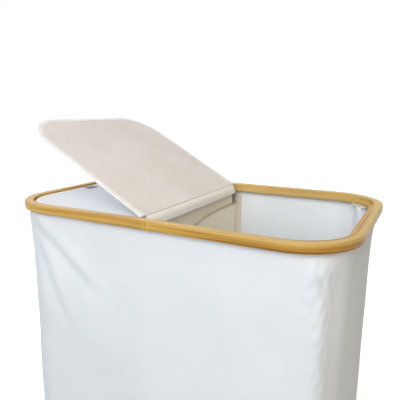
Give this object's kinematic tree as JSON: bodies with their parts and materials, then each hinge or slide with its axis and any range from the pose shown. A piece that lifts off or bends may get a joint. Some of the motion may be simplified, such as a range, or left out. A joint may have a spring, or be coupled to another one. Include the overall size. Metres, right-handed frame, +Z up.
{
  "type": "laundry hamper with two bins",
  "caption": "Tall fabric laundry hamper split into two bins, with a rounded bamboo rim and two flush fabric lids hinged on a middle bar; one lid shut, one folded open.",
  "frame": {"origin": "on the floor under the middle of the rim, at the bottom face of the fabric body", "axes": "+X runs toward the right-hand (open) bin, +Y toward the back, +Z up"},
  "size_m": [0.6, 0.376, 0.7694],
  "materials": {
    "bamboo": "clear-lacquered bamboo with fine straight grain, satin",
    "dowel_wood": "plain beech dowel, matt",
    "white_cloth": "tight plain weave, cool white, matt",
    "beige_cloth": "linen-look plain weave, pale beige, matt",
    "khaki_cloth": "linen-look plain weave, light khaki, matt",
    "grey_ribbon": "woven ribbon, slight sheen",
    "grey_board": "stiff grey board, matt",
    "white_plastic": "moulded white plastic, satin",
    "pole_coat": "white powder-coated steel tube",
    "zinc_steel": "zinc-plated screw"
  },
  "bodies": {
    "root": {"rim_half_left": "bamboo", "rim_half_right": "bamboo", "rim_dowel_front": "dowel_wood", "rim_dowel_back": "dowel_wood", "crossbar": "bamboo", "crossbar_screw_front": "zinc_steel", "crossbar_screw_back": "zinc_steel", "crossbar_sleeve": "beige_cloth", "hinge_welt": "beige_cloth", "outer_shell": "white_cloth", "hem_strip": "white_plastic", "base_board": "grey_board", "pole_front_left": "pole_coat", "pole_front_right": "pole_coat", "pole_back_left": "pole_coat", "pole_back_right": "pole_coat", "foot_front_left": "white_plastic", "foot_front_right": "white_plastic", "foot_back_left": "white_plastic", "foot_back_right": "white_plastic", "socket_front_left": "white_plastic", "socket_front_right": "white_plastic", "socket_back_left": "white_plastic", "socket_back_right": "white_plastic", "socket_screw_front_left_long_side": "zinc_steel", "socket_screw_front_left_short_side": "zinc_steel", "socket_screw_front_right_long_side": "zinc_steel", "socket_screw_front_right_short_side": "zinc_steel", "socket_screw_back_left_long_side": "zinc_steel", "socket_screw_back_left_short_side": "zinc_steel", "socket_screw_back_right_long_side": "zinc_steel", "socket_screw_back_right_short_side": "zinc_steel", "pocket_front_left": "white_cloth", "pocket_front_right": "white_cloth", "pocket_back_left": "white_cloth", "pocket_back_right": "white_cloth", "divider_panel": "khaki_cloth", "divider_tape_front": "khaki_cloth", "divider_tape_back": "khaki_cloth", "divider_tape_top": "khaki_cloth"},
    "left_lid": {"left_lid_cover": "white_cloth", "left_lid_board": "grey_board", "left_lid_lining": "beige_cloth", "left_lid_binding": "white_cloth", "left_lid_hinge_tape": "beige_cloth", "left_lid_pull_tab": "grey_ribbon"},
    "right_lid": {"right_lid_cover": "white_cloth", "right_lid_board": "grey_board", "right_lid_lining": "beige_cloth", "right_lid_binding": "white_cloth", "right_lid_hinge_tape": "beige_cloth", "right_lid_pull_tab": "grey_ribbon"}
  },
  "joints": [
    {"name": "left_lid_hinge", "type": "hinge", "parent": "root", "child": "left_lid", "pos_m": [-0.008, 0, 0.6264], "axis": [0, 1, 0], "range_deg": [0, 26]},
    {"name": "right_lid_hinge", "type": "hinge", "parent": "root", "child": "right_lid", "pos_m": [-0.008, 0, 0.6264], "axis": [0, 1, 0], "range_deg": [0, 151]}
  ]
}
